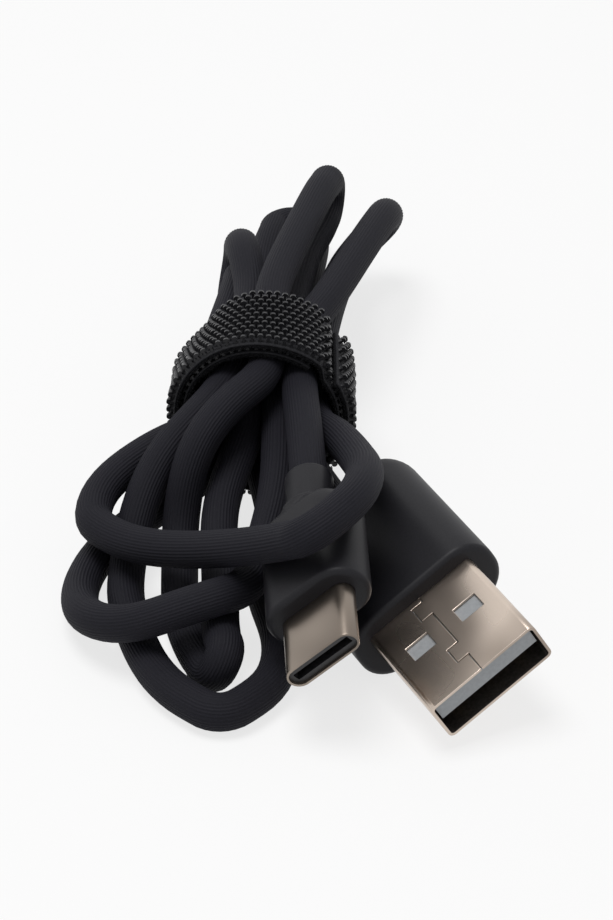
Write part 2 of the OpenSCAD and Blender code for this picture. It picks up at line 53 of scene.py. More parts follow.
# ---- Table, light and camera ----
# The cable lies on a plain white table top under a wide soft lamp, with a pale room round it.
# The camera stands in front of the two plugs and looks down over the whole hank.
TABLE_SIZE = 3.0
TABLE_DROP = 0.00002  # keeps the table just clear of the cord that lies on it
TABLE_WHITE = 0.75  # share of plain white that hides the lamp's fall-off over the table
LAMP_PLACE = (-0.12, -0.02, 0.62)
LAMP_AIM = (0.0, -0.005, 0.01)
LAMP_SIZE = 0.34
LAMP_POWER = 2.3
ROOM_LIGHT = 0.42
CAMERA_PLACE = (0.00068, -0.27155, 0.17733)
CAMERA_DOWN = math.radians(33)
CAMERA_LENS = 123.26
PALE = (0.93, 0.93, 0.93, 1)


def new_material(name):
    """A material with its principled shader, and the two as a pair."""
    material = bpy.data.materials.new(name)
    material.use_nodes = True
    return material, material.node_tree.nodes["Principled BSDF"]


def seen_as_white(tree, colour, white_kind, share, out):
    """Links colour's shader to out, mixed with a share of plain white for the camera and for reflections."""
    add, link = tree.nodes.new, tree.links.new
    rays = add("ShaderNodeLightPath")
    seen = rays.outputs["Is Camera Ray"]
    for kind in ("Is Glossy Ray", "Is Transmission Ray"):
        either = add("ShaderNodeMath")
        either.operation = "MAXIMUM"
        link(seen, either.inputs[0])
        link(rays.outputs[kind], either.inputs[1])
        seen = either.outputs[0]
    amount = add("ShaderNodeMath")
    amount.operation = "MULTIPLY"
    amount.inputs[1].default_value = share
    link(seen, amount.inputs[0])
    white = add(white_kind)
    white.inputs["Strength"].default_value = 1
    white.inputs["Color"].default_value = (1, 1, 1, 1)
    mix = add("ShaderNodeMixShader")
    link(amount.outputs[0], mix.inputs["Fac"])
    link(colour.outputs[0], mix.inputs[1])
    link(white.outputs[0], mix.inputs[2])
    link(mix.outputs[0], out.inputs["Surface"])


half = TABLE_SIZE / 2
table_corners = [(-half, -half), (half, -half), (half, half), (-half, half)]
table_mesh = bpy.data.meshes.new("table_top")
table_mesh.from_pydata([(x, y, -TABLE_DROP) for x, y in table_corners], [], [(0, 1, 2, 3)])
table_top = bpy.data.objects.new("table_top", table_mesh)
scene.collection.objects.link(table_top)
table_finish, shader = new_material("white_table")
shader.inputs["Base Color"].default_value = PALE
shader.inputs["Roughness"].default_value = 0.9
tree = table_finish.node_tree
seen_as_white(tree, shader, "ShaderNodeEmission", TABLE_WHITE, tree.nodes["Material Output"])
table_mesh.materials.append(table_finish)

room = bpy.data.worlds.new("pale_room")
room.use_nodes = True
background = room.node_tree.nodes["Background"]
background.inputs["Color"].default_value = PALE
background.inputs["Strength"].default_value = ROOM_LIGHT
tree = room.node_tree
seen_as_white(tree, background, "ShaderNodeBackground", 1, tree.nodes["World Output"])
scene.world = room

lamp_data = bpy.data.lights.new("soft_lamp", "AREA")
lamp_data.shape = "DISK"
lamp_data.size = LAMP_SIZE
lamp_data.energy = LAMP_POWER
lamp = bpy.data.objects.new("soft_lamp", lamp_data)
lamp.location = LAMP_PLACE
lamp.rotation_mode = "QUATERNION"
lamp.rotation_quaternion = (Vector(LAMP_AIM) - Vector(LAMP_PLACE)).to_track_quat("-Z", "Y")
scene.collection.objects.link(lamp)

camera_data = bpy.data.cameras.new("camera")
camera_data.lens = CAMERA_LENS
camera_data.sensor_width = 36
camera_data.clip_start, camera_data.clip_end = 0.01, 10
camera = bpy.data.objects.new("camera", camera_data)
camera.location = CAMERA_PLACE
camera.rotation_euler = (math.radians(90) - CAMERA_DOWN, 0, 0)
scene.collection.objects.link(camera)
scene.camera = camera
scene.view_settings.view_transform = "Standard"

# ---- Cord ----
# One length of soft black jacket over four wires, 3.6 mm thick and about 0.8 m long from plug to plug.
# It is extruded with 36 fine ribs along it. The last stretch before the USB-A plug is a piece of its own,
# because it bends when that plug swings out.
CORD_RADIUS = 1.8
RIBS = 36
RIB_DEPTH = 0.045
FOLD_CLEAR = 0.1  # share of a step that the inner side of a fold keeps
SLACK_BEND, FOLD_BEND = 1 / 9, 1 / 4.5  # per mm: it runs slack up to the first, and folds from the second
TO_ORIGIN = np.array([-3.69, 1.02, 0])
USB_C_LEAD = [(4.9, -28.4, 12.1), (4.6, -23, 13), (4.1, -14, 13.6), (3.7, -7.3, 13.3), (4, 3.8, 13.3)]
HANK = [
    # first loop behind the tie
    (6.6, 11, 13.2), (11.6, 27.5, 12.2), (13.2, 34, 10.8), (13, 37.3, 7.8), (10.6, 35.5, 6), (7.9, 26, 7),
    (5.3, 3.8, 9.5),
    # wide loop in front, over the USB-C plug
    (5.3, -7.3, 9.5), (7.2, -13, 11.7), (9.2, -21.2, 14.3), (9.8, -29, 17.3), (8.2, -35.6, 18.7),
    (4.5, -39, 17.7), (1.2, -35.5, 14.3), (-7, -28, 8.4), (-12, -24.8, 6.8), (-16.2, -20.5, 6.4),
    (-15.6, -15.2, 7), (-9.8, -9.6, 8.6), (-5.6, -7.9, 9.6),
    # second loop behind
    (-5.3, 3.8, 9.5), (-3, 20.5, 9), (-2.8, 23.4, 8.6), (-1.3, 24.9, 7.9), (0.1, 23.2, 7), (0, 20, 6.9),
    (-1.6, 3.8, 8.8),
    # narrow loop in front
    (-1.6, -7.3, 8.8), (-4, -18, 6.5), (-3.8, -28, 4.3), (-3.6, -36, 4.4), (-3.1, -38.7, 4.5),
    (-4.2, -39.2, 2.2), (-6, -35.5, 1.8), (-7.6, -29, 1.8), (-7.9, -22, 2.5), (-7.9, -18.3, 5),
    (-6.5, -15.4, 11.4), (-3.2, -11.4, 14.4), (0, -7.3, 14.8),
    # third loop behind
    (0.6, 3.8, 14.8), (0.9, 10, 14.9), (4.4, 27, 14.2), (6.3, 35.6, 13.4), (6.8, 38, 12.6), (6.9, 38.8, 11),
    (6.7, 38, 9.4), (6.2, 35.6, 8.6), (4.2, 28, 8.8), (1.7, 3.8, 10.2),
    # middle loop in front
    (1.7, -7.3, 10.2), (1.5, -19, 9), (0.4, -25.5, 7.6), (-1.1, -31.5, 6.7), (-3.4, -34.8, 8),
    (-7, -36, 7.5), (-12, -36, 5.5), (-16.3, -32, 3.5), (-17.4, -26, 2.2), (-15.8, -19.5, 2.1),
    (-13, -15.2, 2.4), (-8.4, -11.2, 3.7), (-3.7, -7.3, 5.8),
    # fourth loop behind
    (-3.7, 3.8, 5.8), (-3.6, 14, 4.4), (-3.6, 26.5, 4.6), (-3, 29.3, 7.6), (-2.8, 27.3, 10.6),
    (-2.3, 22, 12.6), (-1.4, 14, 12.1), (-2.2, 3.8, 12.5),
    # long loop in front
    (-4, -7.3, 13.3), (-6.4, -10.4, 12.1), (-9.3, -13.4, 10.2), (-11.6, -16.8, 7), (-13, -22.5, 2.5),
    (-12.8, -28, 1.9), (-8.8, -40, 1.8), (-3.5, -44.5, 1.8), (1, -40.5, 1.8), (2, -34, 1.8),
    (0.2, -25, 1.9), (0.9, -19.5, 2.0), (1.3, -14.5, 2.6), (0, -7.3, 4.2),
    # fifth loop behind
    (0, 3.8, 4.2), (-0.4, 24, 1.9), (-0.6, 32, 3.2), (0.4, 40.5, 4.1), (1.1, 43.5, 3.9), (2.9, 44.7, 3.7),
    (4.7, 43.4, 3.7), (5.2, 41, 3.8), (3.7, 22, 5.2),
]
USB_A_LEAD = [
    (3.7, 6, 5.8), (3.7, 3.8, 5.8), (3.7, -7.3, 5.8), (5.2, -12, 6.2), (7.9, -18.9, 6.3), (10.5, -24.3, 6.3)]


def smooth_curve(points, steps=24):
    """Points close together on a smooth curve through the given ones, without overshoot at uneven spacing."""
    p = np.array(points, float)
    p = np.vstack([2 * p[0] - p[1], p, 2 * p[-1] - p[-2]])
    out = []
    for i in range(1, len(p) - 2):
        q = p[i - 1:i + 3]
        t = np.concatenate([[0], np.cumsum(np.sqrt(np.linalg.norm(np.diff(q, axis=0), axis=1)))])
        for u in t[1] + (t[2] - t[1]) * np.arange(steps) / steps:
            a = [((t[k + 1] - u) * q[k] + (u - t[k]) * q[k + 1]) / (t[k + 1] - t[k]) for k in range(3)]
            b = [((t[k + 2] - u) * a[k] + (u - t[k]) * a[k + 1]) / (t[k + 2] - t[k]) for k in range(2)]
            out.append(((t[2] - u) * b[0] + (u - t[1]) * b[1]) / (t[2] - t[1]))
    return np.array(out + [p[-2]])


def relaxed(curve, step=0.15, slack=1.8, tight=0.45):
    """The curve at an even step, evened out over a longer stretch where it runs slack than where it folds."""
    run = np.concatenate([[0], np.cumsum(np.linalg.norm(np.diff(curve, axis=0), axis=1))])
    even = np.array([np.interp(np.arange(0, run[-1], step), run, curve[:, k]) for k in range(3)]).T
    reach = int(3 * slack / step)
    padded = np.vstack([2 * even[0] - even[reach:0:-1], even, 2 * even[-1] - even[-2:-reach - 2:-1]])

    def evened(points, width):
        weights = np.exp(-(np.arange(-reach, reach + 1) * step / width) ** 2 / 2)
        weights /= weights.sum()
        return np.array([np.convolve(points[:, k], weights, mode="valid") for k in range(3)]).T

    loose, close = evened(padded, slack), evened(padded, tight)
    direction = np.gradient(loose, step, axis=0)
    bend = np.linalg.norm(np.gradient(direction, step, axis=0), axis=1)[:, None]
    share = np.clip((bend - SLACK_BEND) / (FOLD_BEND - SLACK_BEND), 0, 1)
    return loose + (close - loose) * share * share * (3 - 2 * share)


def walk(curve, widest=1.15, closest=0.42, turn=0.2, averaged=9):
    """Points along the curve: far apart where it is straight, and close together where it bends."""
    step = np.linalg.norm(np.diff(curve, axis=0), axis=1)
    run = np.concatenate([[0], np.cumsum(step)])
    direction = np.gradient(curve, run, axis=0)
    direction /= np.linalg.norm(direction, axis=1)[:, None]
    bend = np.linalg.norm(np.gradient(direction, run, axis=0), axis=1)
    bend = np.convolve(bend, np.ones(averaged) / averaged, mode="same")
    density = 1 / np.clip(turn / np.maximum(bend, 1e-6), closest, widest)
    marks = np.concatenate([[0], np.cumsum((density[1:] + density[:-1]) / 2 * step)])
    places = np.interp(np.linspace(0, marks[-1], int(marks[-1]) + 1), marks, run)
    return np.array([np.interp(places, run, curve[:, k]) for k in range(3)]).T


def carried_frames(path):
    """Directions along the path and sideways from it, carried along without twist."""
    along = np.gradient(path, axis=0)
    along /= np.linalg.norm(along, axis=1)[:, None]
    side = np.zeros_like(along)
    side[0] = (0.1, 0.2, 1)  # any direction that the path doesn't start in
    for i in range(len(path)):
        side[i] = side[max(i - 1, 0)] - along[i] * (side[max(i - 1, 0)] @ along[i])
        side[i] /= np.linalg.norm(side[i])
    return along, side


def pressed_folds(path, along, rings):
    """The rings with the inner side of the tightest folds pressed flat, so that no ring crosses the next."""
    rings = rings.copy()
    forward = along[1:] + along[:-1]
    forward /= np.linalg.norm(forward, axis=1)[:, None]
    middle = (path[1:] + path[:-1]) / 2
    room = FOLD_CLEAR * np.einsum("ij,ij->i", np.diff(path, axis=0), forward)[:, None] / 2
    for sign, near in ((1, slice(None, -1)), (-1, slice(1, None))):
        inward = forward - along[near] * np.einsum("ij,ij->i", forward, along[near])[:, None]
        past = np.maximum(sign * np.einsum("ijk,ik->ij", rings[near] - middle[:, None], forward) + room, 0)
        back = inward / np.maximum(np.einsum("ij,ij->i", inward, inward), 1e-9)[:, None]
        rings[near] -= sign * past[:, :, None] * back[:, None]
    return rings


def closed_tube(name, rings, sharp_lengthwise=False):
    """A mesh through rings of points in mm, closed at both ends."""
    rings = np.array(rings)
    count, sides = rings.shape[:2]
    ends = [rings[0].mean(0), rings[-1].mean(0)]
    verts = np.vstack([rings.reshape(-1, 3), ends]) * MM
    i, k = np.meshgrid(np.arange(count - 1), np.arange(sides), indexing="ij")
    a, b = i * sides + k, i * sides + (k + 1) % sides
    quads = np.stack([a, b, b + sides, a + sides], -1).reshape(-1, 4)
    first, last = count * sides, count * sides + 1
    top = (count - 1) * sides
    caps = [(first, (j + 1) % sides, j) for j in range(sides)]
    caps += [(last, top + j, top + (j + 1) % sides) for j in range(sides)]
    mesh = bpy.data.meshes.new(name)
    mesh.from_pydata(verts.tolist(), [], quads.tolist() + caps)
    mesh.polygons.foreach_set("use_smooth", np.ones(len(mesh.polygons), bool))
    if sharp_lengthwise:
        edges = np.zeros(len(mesh.edges) * 2, int)
        mesh.edges.foreach_get("vertices", edges)
        edges = edges.reshape(-1, 2)
        mesh.edges.foreach_set("use_edge_sharp", np.abs(edges[:, 0] - edges[:, 1]) == sides)
    mesh.update()
    piece = bpy.data.objects.new(name, mesh)
    scene.collection.objects.link(piece)
    return piece


def value(tree, kind, **settings):
    """A new node with its settings and unlinked inputs set."""
    node = tree.nodes.new(kind)
    for key, setting in settings.items():
        if hasattr(node, key):
            setattr(node, key, setting)
        else:
            node.inputs[key.replace("_", " ")].default_value = setting
    return node


def grain(tree, shader, coordinate, scale, strength, distance):
    """A fine bump from noise on the given coordinate."""
    noise = value(tree, "ShaderNodeTexNoise", Scale=scale, Detail=3, Roughness=0.6)
    bump = value(tree, "ShaderNodeBump", Strength=strength, Distance=distance)
    tree.links.new(coordinate, noise.inputs["Vector"])
    tree.links.new(noise.outputs["Fac"], bump.inputs["Height"])
    tree.links.new(bump.outputs["Normal"], shader.inputs["Normal"])
    return noise


def varied(tree, shader, noise, low, high, first, second):
    """The base colour goes from first to second as the noise goes from low to high."""
    ramp = tree.nodes.new("ShaderNodeValToRGB")
    ramp.color_ramp.elements[0].position, ramp.color_ramp.elements[1].position = low, high
    ramp.color_ramp.elements[0].color, ramp.color_ramp.elements[1].color = (*first, 1), (*second, 1)
    tree.links.new(noise.outputs["Fac"], ramp.inputs["Fac"])
    tree.links.new(ramp.outputs["Color"], shader.inputs["Base Color"])


def grained_finish(name, roughness, low, high, scale, strength, deep=0.00002, spread=(0.3, 0.75),
                   metallic=0.0, specular=0.5):
    """A material with fine grain whose colour varies softly between low and high."""
    material, shader = new_material(name)
    tree = material.node_tree
    shader.inputs["Roughness"].default_value = roughness
    shader.inputs["Metallic"].default_value = metallic
    shader.inputs["Specular IOR Level"].default_value = specular
    place = tree.nodes.new("ShaderNodeTexCoord").outputs["Object"]
    noise = grain(tree, shader, place, scale, strength, deep)
    varied(tree, shader, noise, *spread, low, high)
    return material


route = relaxed(smooth_curve(USB_C_LEAD + HANK + USB_A_LEAD))
route[:, 2] = np.maximum(route[:, 2], CORD_RADIUS)
# where the lead to the USB-A plug begins
joint_at = np.argmin(np.linalg.norm(route - np.array(USB_A_LEAD[0]), axis=1))
lead_path, hank_path = walk(route[joint_at:]), walk(route[:joint_at + 1])
cord_path = np.vstack([hank_path[:-1], lead_path]) + TO_ORIGIN
cord_along, cord_side = carried_frames(cord_path)
angles = np.arange(2 * RIBS) * math.pi / RIBS
radii = CORD_RADIUS - RIB_DEPTH * (np.arange(2 * RIBS) % 2)
cord_up = np.cross(cord_along, cord_side)
cord_rings = cord_path[:, None] + radii[:, None] * (
    np.cos(angles)[:, None] * cord_side[:, None] + np.sin(angles)[:, None] * cord_up[:, None])
cord_rings = pressed_folds(cord_path, cord_along, cord_rings)
split = len(hank_path) - 1

jacket = grained_finish("cord_jacket", 0.66, (0.011, 0.0108, 0.0145), (0.018, 0.0178, 0.0235), 9000, 0.25,
                        deep=0.00003, spread=(0.35, 0.75), specular=0.1)

cord = closed_tube("cord", cord_rings[:split + 1], sharp_lengthwise=True)
cord.data.materials.append(jacket)
lead = closed_tube("cord_to_usb_a", cord_rings[split:], sharp_lengthwise=True)
lead.data.materials.append(jacket)

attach(cord, "cable")
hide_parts("cord_hank", "usb_c_lead")
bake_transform(lead)
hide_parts("usb_a_lead")

# ---- Hook-and-loop tie ----
# One 10 mm nylon strap wound twice round the middle of the hank, with moulded hooks on its outer side and
# brushed loops on its inner side. The second turn grips the hooks of the first. The loose end is pressed
# down beside the place where the second turn climbs over the strap's own start.
TIE_WIDTH = 10
TIE_CENTRE = np.array([0, -1.75, 9.5]) + TO_ORIGIN
TIE_RADIUS = 7.2
LAYER = 0.25  # thickness of the loop layer, and of the woven one
WRAP_START = 52
CLIMB_START, CLIMB_END, CLIMB_RISE = 343, 357, 0.92
TAIL_ROOT, TAIL_BENT, TAIL_END = 618, 640, 698
FRONT_BULGE, REAR_DIP = (0.6, 138, 75), (-1.45, 140, 45)
HOOK_HEIGHT, PRESSED_HEIGHT, PRESSED_TO = 0.85, 0.4, 341
HOOK_PITCH, HOOK_ROWS = 0.8, 11
HOOK_SUNK, HOOK_MARGIN = 0.03, 0.1  # how deep a hook stands in the weave, and the bare strip at each edge
FREE_START, FREE_END = 2, 1  # degrees of winding without hooks at the ends of a stretch
STRAP_STEP = 2.5  # degrees of winding between the strap's sections
STRAP_EDGE = 0.1  # how far a layer's rounded edge runs in


def hump(form, direction):
    """A smooth hump of form (height, middle, half width) at each direction in degrees."""
    off = np.abs((direction - form[1] + 540) % 360 - 180)
    return np.where(off < form[2], form[0] * (1 + np.cos(np.pi * off / form[2])) / 2, 0)


def strap_place(winding, out, across):
    """Points in mm at degrees of winding, out from the strap's inner face, and across it from the front."""
    direction = winding + WRAP_START
    climbed = np.clip((winding - CLIMB_START) / (CLIMB_END - CLIMB_START), 0, 1)
    rear = across / TIE_WIDTH + 0.5
    radius = (TIE_RADIUS + CLIMB_RISE * (1 - np.cos(np.pi * climbed)) / 2 + out
              + hump(FRONT_BULGE, direction) * (1 - rear) + hump(REAR_DIP, direction) * rear)
    turn = np.radians(direction)
    return TIE_CENTRE + np.stack([radius * np.cos(turn), across + 0 * turn, radius * np.sin(turn)], -1)


def strap_layer(name, start, end, low, high, material):
    """One layer of the strap as a closed band with rounded edges."""
    stops = np.linspace(start, end, int((end - start) / STRAP_STEP) + 1)[:, None]
    turn = np.linspace(0, math.pi, 7)
    middle, back = (low + high) / 2, (low - high) / 2
    front = [(-TIE_WIDTH / 2 + STRAP_EDGE * (1 - math.sin(t)), middle + back * math.cos(t)) for t in turn]
    rear = [(-x, low + high - out) for x, out in front]
    flat = [0.8, 0.6, 0.4, 0.2, 0, -0.2, -0.4, -0.6, -0.8]
    upper = [(-f * TIE_WIDTH / 2, high) for f in flat]
    lower = [(f * TIE_WIDTH / 2, low) for f in flat]
    section = np.array(front + upper + rear + lower)
    band = closed_tube(name, strap_place(stops, section[:, 1], section[:, 0]))
    band.data.materials.append(material)
    return band


weave = grained_finish("woven_nylon", 0.7, (0.008, 0.008, 0.01), (0.026, 0.026, 0.029), 5000, 0.6,
                       deep=0.00005, spread=(0.3, 0.8), specular=0.15)
loops = grained_finish("brushed_loops", 0.95, (0.006, 0.006, 0.007), (0.02, 0.02, 0.022), 3500, 1.0,
                       deep=0.00018, spread=(0.3, 0.8), specular=0.05)
hook_plastic = grained_finish("hook_nylon", 0.3, (0.014, 0.014, 0.016), (0.024, 0.024, 0.027), 2500, 0.1,
                              spread=(0.3, 0.8), specular=0.25)

# One moulded hook, 1 mm high for scaling: a flat stem that widens at its foot, with a barb on each side.
HOOK_THICK = 0.4
half_outline = [(0.2, 0), (0.14, 0.2), (0.11, 0.5), (0.16, 0.64), (0.23, 0.6), (0.29, 0.5), (0.32, 0.6),
                (0.28, 0.8), (0.18, 0.95), (0.06, 1)]
outline = half_outline + [(-x, z) for x, z in half_outline[::-1]]
taper = [1 - 0.3 * z for _, z in outline]
hook_verts = [(x * MM, side * HOOK_THICK / 2 * t * MM, z * MM)
              for side in (-1, 1) for (x, z), t in zip(outline, taper)]
around = len(outline)
hook_faces = [tuple(range(around)), tuple(range(2 * around - 1, around - 1, -1))]
hook_faces += [((k + 1) % around, k, around + k, around + (k + 1) % around) for k in range(around)]
hook_mesh = bpy.data.meshes.new("hook")
hook_mesh.from_pydata(hook_verts, [], hook_faces)
hook_mesh.update()
hook = bpy.data.objects.new("hook", hook_mesh)

# One nylon loop of the brushed side, 0.3 mm high: a thin strand in an arch.
LOOP_HIGH, LOOP_WIDE, STRAND, LOOPS_PER_DEGREE = 0.3, 0.11, 0.022, 5
LOOP_ROOT = 0.06  # how far in from the strap's edge it starts
LOOP_LEAN, LOOP_TWIST = 0.45, 0.8  # how unevenly the loops stand out and are turned
arch = [(LOOP_WIDE * math.cos(t), LOOP_HIGH * math.sin(t)) for t in np.linspace(0, math.pi, 7)]
strand = [(STRAND * math.cos(t), STRAND * math.sin(t)) for t in (0, 2.1, 4.2)]
loop_verts = [((x + u * x / LOOP_WIDE) * MM, v * MM, (z + u * z / LOOP_HIGH) * MM)
              for x, z in arch for u, v in strand]
loop_faces = [(3 * i + k, 3 * i + (k + 1) % 3, 3 * i + 3 + (k + 1) % 3, 3 * i + 3 + k)
              for i in range(len(arch) - 1) for k in range(3)]
loop_mesh = bpy.data.meshes.new("loop")
loop_mesh.from_pydata(loop_verts, [], loop_faces)
loop_mesh.update()
loop = bpy.data.objects.new("loop", loop_mesh)


def hook_tree():
    """Geometry Nodes: a hook on each point, standing along 'out' and turned along 'strap'."""
    tree = bpy.data.node_groups.new("hooks_on_strap", "GeometryNodeTree")
    face = tree.interface
    face.new_socket("Feet", in_out="INPUT", socket_type="NodeSocketGeometry")
    face.new_socket("Hook", in_out="INPUT", socket_type="NodeSocketObject")
    face.new_socket("Height", in_out="INPUT", socket_type="NodeSocketFloat")
    face.new_socket("Unevenness", in_out="INPUT", socket_type="NodeSocketFloat")
    face.new_socket("Seed", in_out="INPUT", socket_type="NodeSocketInt")
    face.new_socket("Finish", in_out="INPUT", socket_type="NodeSocketMaterial")
    face.new_socket("Hooks", in_out="OUTPUT", socket_type="NodeSocketGeometry")
    add, link = tree.nodes.new, tree.links.new
    given, result = add("NodeGroupInput"), add("NodeGroupOutput")
    points = add("GeometryNodeMeshToPoints")
    link(given.outputs["Feet"], points.inputs["Mesh"])
    standing = {}
    for name in ("out", "strap"):
        standing[name] = add("GeometryNodeInputNamedAttribute")
        standing[name].data_type = "FLOAT_VECTOR"
        standing[name].inputs["Name"].default_value = name
    turned = add("FunctionNodeAxesToRotation")
    turned.primary_axis, turned.secondary_axis = "Z", "X"
    link(standing["out"].outputs["Attribute"], turned.inputs["Primary Axis"])
    link(standing["strap"].outputs["Attribute"], turned.inputs["Secondary Axis"])
    tall = add("GeometryNodeInputNamedAttribute")
    tall.data_type = "FLOAT"
    tall.inputs["Name"].default_value = "tall"
    uneven = add("FunctionNodeRandomValue")
    uneven.data_type = "FLOAT"
    low = add("ShaderNodeMath")
    low.operation, low.inputs[0].default_value = "SUBTRACT", 1
    link(given.outputs["Unevenness"], low.inputs[1])
    link(low.outputs[0], uneven.inputs[2])
    uneven.inputs[3].default_value = 1
    link(given.outputs["Seed"], uneven.inputs["Seed"])
    height = add("ShaderNodeMath")
    height.operation = "MULTIPLY"
    link(given.outputs["Height"], height.inputs[0])
    link(tall.outputs["Attribute"], height.inputs[1])
    high = add("ShaderNodeMath")
    high.operation = "MULTIPLY"
    link(height.outputs[0], high.inputs[0])
    link(uneven.outputs[1], high.inputs[1])
    size = add("ShaderNodeCombineXYZ")
    size.inputs["X"].default_value = size.inputs["Y"].default_value = 1
    link(high.outputs[0], size.inputs["Z"])
    source = add("GeometryNodeObjectInfo")
    link(given.outputs["Hook"], source.inputs["Object"])
    stand = add("GeometryNodeInstanceOnPoints")
    link(points.outputs["Points"], stand.inputs["Points"])
    link(source.outputs["Geometry"], stand.inputs["Instance"])
    link(turned.outputs["Rotation"], stand.inputs["Rotation"])
    link(size.outputs["Vector"], stand.inputs["Scale"])
    real = add("GeometryNodeRealizeInstances")
    link(stand.outputs["Instances"], real.inputs["Geometry"])
    finish = add("GeometryNodeSetMaterial")
    link(real.outputs["Geometry"], finish.inputs["Geometry"])
    link(given.outputs["Finish"], finish.inputs["Material"])
    link(finish.outputs["Geometry"], result.inputs["Hooks"])
    return tree


hooks_on_strap = hook_tree()


def grown(name, foot, out, along, tall, source, unevenness, seed, finish):
    """A plain mesh of the source object, once on each foot, standing along out and turned along the strap."""
    mesh = bpy.data.meshes.new(name)
    mesh.from_pydata((foot * MM).tolist(), [], [])
    for attribute, values in (("out", out), ("strap", along)):
        unit = values / np.linalg.norm(values, axis=1)[:, None]
        arrows = mesh.attributes.new(attribute, "FLOAT_VECTOR", "POINT").data
        arrows.foreach_set("vector", unit.astype(np.float32).ravel())
    mesh.attributes.new("tall", "FLOAT", "POINT").data.foreach_set("value", tall.astype(np.float32))
    feet = bpy.data.objects.new(name + "_feet", mesh)
    scene.collection.objects.link(feet)
    modifier = feet.modifiers.new("hooks", "NODES")
    modifier.node_group = hooks_on_strap
    wanted = {"Hook": source, "Height": 1.0, "Unevenness": unevenness, "Seed": seed, "Finish": finish}
    for item in hooks_on_strap.interface.items_tree:
        if item.in_out == "INPUT" and item.name in wanted:
            modifier[item.identifier] = wanted[item.name]
    seen = feet.evaluated_get(bpy.context.evaluated_depsgraph_get())
    plain = bpy.data.meshes.new_from_object(seen)
    plain.name = name
    feet.modifiers.clear()
    bpy.data.objects.remove(feet)
    piece = bpy.data.objects.new(name, plain)
    scene.collection.objects.link(piece)
    return piece


def hook_field(name, start, end, seed):
    """The hooks of one stretch of the strap, as a plain mesh."""
    windings, a = [], start + FREE_START
    while a < end - FREE_END:
        windings.append(a)
        a += math.degrees(HOOK_PITCH / 2 / (TIE_RADIUS + 3 * LAYER + (CLIMB_RISE if a > CLIMB_START else 0)))
    # every second row stands half a pitch on
    a = np.concatenate([np.array(windings)[row % 2::2] for row in range(HOOK_ROWS)])
    across = np.concatenate([np.full(len(windings[row % 2::2]), (row + 0.5) / HOOK_ROWS - 0.5)
                             for row in range(HOOK_ROWS)]) * (TIE_WIDTH - 2 * HOOK_MARGIN)
    foot = strap_place(a, 2 * LAYER - HOOK_SUNK, across)
    along = strap_place(a + 0.5, 2 * LAYER, across) - strap_place(a - 0.5, 2 * LAYER, across)
    width = strap_place(a, 2 * LAYER, across + 0.1) - strap_place(a, 2 * LAYER, across - 0.1)
    out = np.cross(width, along)
    tall = np.interp(a, [PRESSED_TO, CLIMB_START], [PRESSED_HEIGHT, HOOK_HEIGHT])
    return grown(name, foot, out, along, tall, source=hook, unevenness=0.12, seed=seed, finish=hook_plastic)


def loop_fringe(name, start, end, seed):
    """The brushed loops that stand out along both edges of the strap's inner side, as a plain mesh."""
    chance = np.random.default_rng(seed)
    count = int((end - start) * LOOPS_PER_DEGREE)
    a = chance.uniform(start + 1, end - 1, count)
    edge = np.where(chance.random(count) < 0.5, -1, 1)
    foot = strap_place(a, chance.uniform(0.02, LAYER, count), edge * (TIE_WIDTH / 2 - LOOP_ROOT))
    along = strap_place(a + 0.5, 0, edge * 0) - strap_place(a - 0.5, 0, edge * 0)
    along /= np.linalg.norm(along, axis=1)[:, None]
    outward = np.array([0, 1, 0]) * edge[:, None] + chance.normal(0, LOOP_LEAN, (count, 3))
    along = along + chance.normal(0, LOOP_TWIST, (count, 3))
    tall = np.ones(count)
    return grown(name, foot, outward, along, tall, source=loop, unevenness=0.45, seed=seed, finish=loops)


def tie_pieces(suffix, start, end, seed):
    """The three layers of one stretch of the strap, each standing for its CAD node."""
    pile = strap_layer("strap_loops" + suffix, start, end, 0, LAYER, loops)
    backing = strap_layer("strap_weave" + suffix, start, end, LAYER, 2 * LAYER, weave)
    hooks = hook_field("strap_hooks" + suffix, start, end, seed)
    fringe = loop_fringe("strap_loop_fringe" + suffix, start, end, seed)
    made = [(pile, "pile", "loop_pile"), (backing, "backing", "strap_backing"), (hooks, "hooks", "hooks"),
            (fringe, None, "loop_pile")]
    for piece, layer, slot in made:
        if layer:
            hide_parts(("tail_" if suffix else "tie_") + layer)
    return [piece for piece, _, _ in made]


for piece in tie_pieces("", 0, TAIL_ROOT, 3):
    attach(piece, "cable")
for piece in tie_pieces("_tail", TAIL_ROOT, TAIL_END, 5):
    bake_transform(piece)
bpy.data.objects.remove(hook)
bpy.data.objects.remove(loop)

# ---- USB-A plug ----
# A folded and nickel-plated shell, with four latch holes and a seam that two dovetail tabs hold together,
# stands round a pale insulator with four gilt contacts. A smooth black overmould is shot round its rear
# and round the cord.
USB_A_AT, USB_A_YAW, USB_A_ROLL = (7.9, -18.9, 6.3), 26, 31
USB_A_GRIP, USB_A_SIDE, USB_A_FRONT, USB_A_REAR = (16, 7.8, 18), 3.5, 0.6, 2.5
USB_A_SHELL, USB_A_SHELL_CORNER, USB_A_SHEET = (12, 4.5), 0.6, 0.3
USB_A_SHELL_OUT, USB_A_SHELL_IN = 12, 6
USB_A_HOLE_X, USB_A_HOLE_Y = (1.55, 4.05), (6.025, 7.975)  # from the middle, and behind the mouth
SEAM = 0.1
TAB_REACH, TAB_PLACES, TAB_LENGTH = 1.3, (2.4, 9.3), 2.1
ROUND = 96  # points round a grip
HALVINGS = 40  # rounds of halving that find how far an outline reaches
CORNER_SPARED = 0.3  # part of a grip's corner that its rounded ends never draw in
REFLECTION_PATCH_SHIFT = (0.02, 0.013, 0)  # where the painted darker reflections fall
CORD_GAP, SHELL_GAP = 0.06, 0.02  # between an overmould and the cord and shell that it grips
USB_A_EASED = 0.045  # how far the easing of the shell's cut edges runs in


